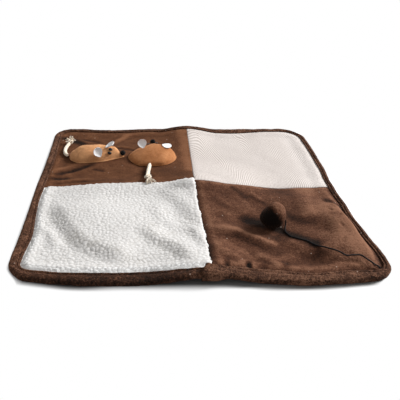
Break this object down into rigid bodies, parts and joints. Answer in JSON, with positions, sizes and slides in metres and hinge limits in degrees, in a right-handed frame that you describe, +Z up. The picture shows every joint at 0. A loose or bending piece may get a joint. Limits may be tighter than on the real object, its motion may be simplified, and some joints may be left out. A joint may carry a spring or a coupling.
{
  "type": "sisal cat play mat",
  "caption": "Square play mat of four different cloth panels in a padded edge binding, with felt mice, rope tails and a stuffed ball on an elastic cord.",
  "frame": {"origin": "on the surface that the mat lies on, under the middle of the mat", "axes": "+Z up, +X to the right and -Y to the front, where the binding's ends lap"},
  "size_m": [0.5044, 0.501, 0.0467],
  "materials": {
    "suede": "matte",
    "sisal": "matte",
    "sherpa": "matte",
    "plush": "satin",
    "binding": "satin",
    "felt": "matte",
    "white_felt": "matte",
    "eye": "gloss",
    "pompom": "matte",
    "rope": "matte",
    "elastic": "satin"
  },
  "bodies": {
    "root": {"suede_panel": "suede", "sisal_panel": "sisal", "sherpa_panel": "sherpa", "plush_panel": "plush", "edge_binding": "binding", "mouse_1_body": "felt", "mouse_1_ear_right": "white_felt", "mouse_1_ear_left": "white_felt", "mouse_1_eye_right": "eye", "mouse_1_eye_left": "eye", "mouse_1_nose": "pompom", "mouse_1_tail": "rope", "mouse_1_tail_knot": "rope", "mouse_2_body": "felt", "mouse_2_ear_right": "white_felt", "mouse_2_ear_left": "white_felt", "mouse_2_eye_right": "eye", "mouse_2_eye_left": "eye", "mouse_2_nose": "pompom", "mouse_2_tail": "rope", "mouse_2_tail_knot": "rope", "toy_ball": "plush", "elastic_cord": "elastic"}
  },
  "joints": []
}
